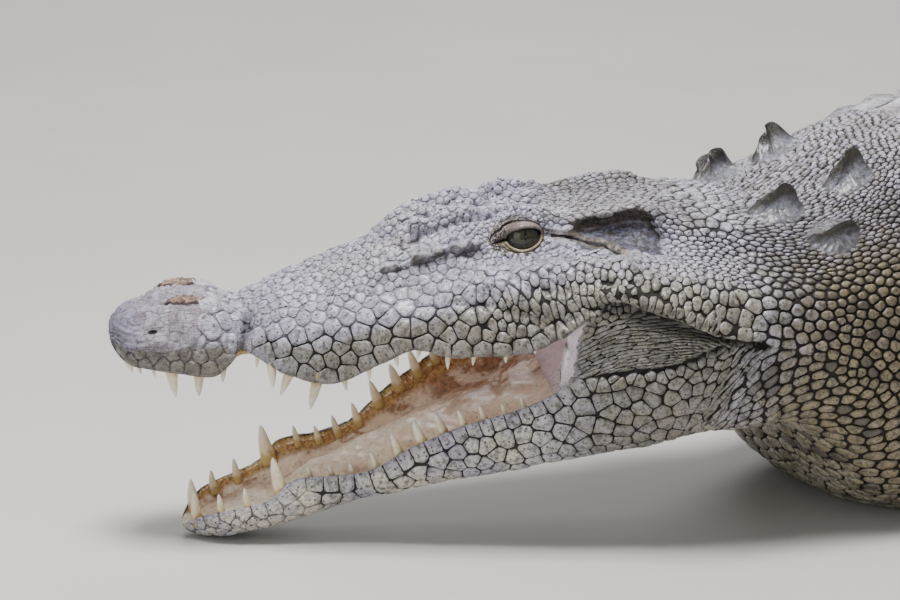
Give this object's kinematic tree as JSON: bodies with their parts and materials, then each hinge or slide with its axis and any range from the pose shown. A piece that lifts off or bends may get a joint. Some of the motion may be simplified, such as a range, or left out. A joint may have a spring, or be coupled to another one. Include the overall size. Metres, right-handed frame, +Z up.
{
  "type": "saltwater crocodile",
  "caption": "Life-size still model of a large saltwater crocodile lying on its belly with its head turned and its jaws open.",
  "frame": {"origin": "centre of the bounding box, on the floor under the belly", "axes": "+Z up, the trunk along X with the head towards -X, the animal's left side towards -Y"},
  "size_m": [4.4048, 1.6426, 0.4599],
  "materials": {
    "hide": "grey-khaki scaly hide with dark cracks",
    "mouth": "moist cream-pink lining",
    "eye": "glossy olive with a vertical slit pupil",
    "tooth": "cream enamel, yellow at the root",
    "claw": "dark horn"
  },
  "bodies": {
    "root": {"head": "hide", "lower_jaw": "hide", "tongue": "mouth", "eye_left": "eye", "eye_right": "eye", "neck": "hide", "trunk": "hide", "tail_base": "hide", "tail_middle": "hide", "tail_tip": "hide", "foreleg_left_upper": "hide", "foreleg_left_lower": "hide", "foreleg_left_foot": "hide", "foreleg_right_upper": "hide", "foreleg_right_lower": "hide", "foreleg_right_foot": "hide", "hindleg_left_upper": "hide", "hindleg_left_lower": "hide", "hindleg_left_foot": "hide", "hindleg_right_upper": "hide", "hindleg_right_lower": "hide", "hindleg_right_foot": "hide"}
  },
  "joints": []
}
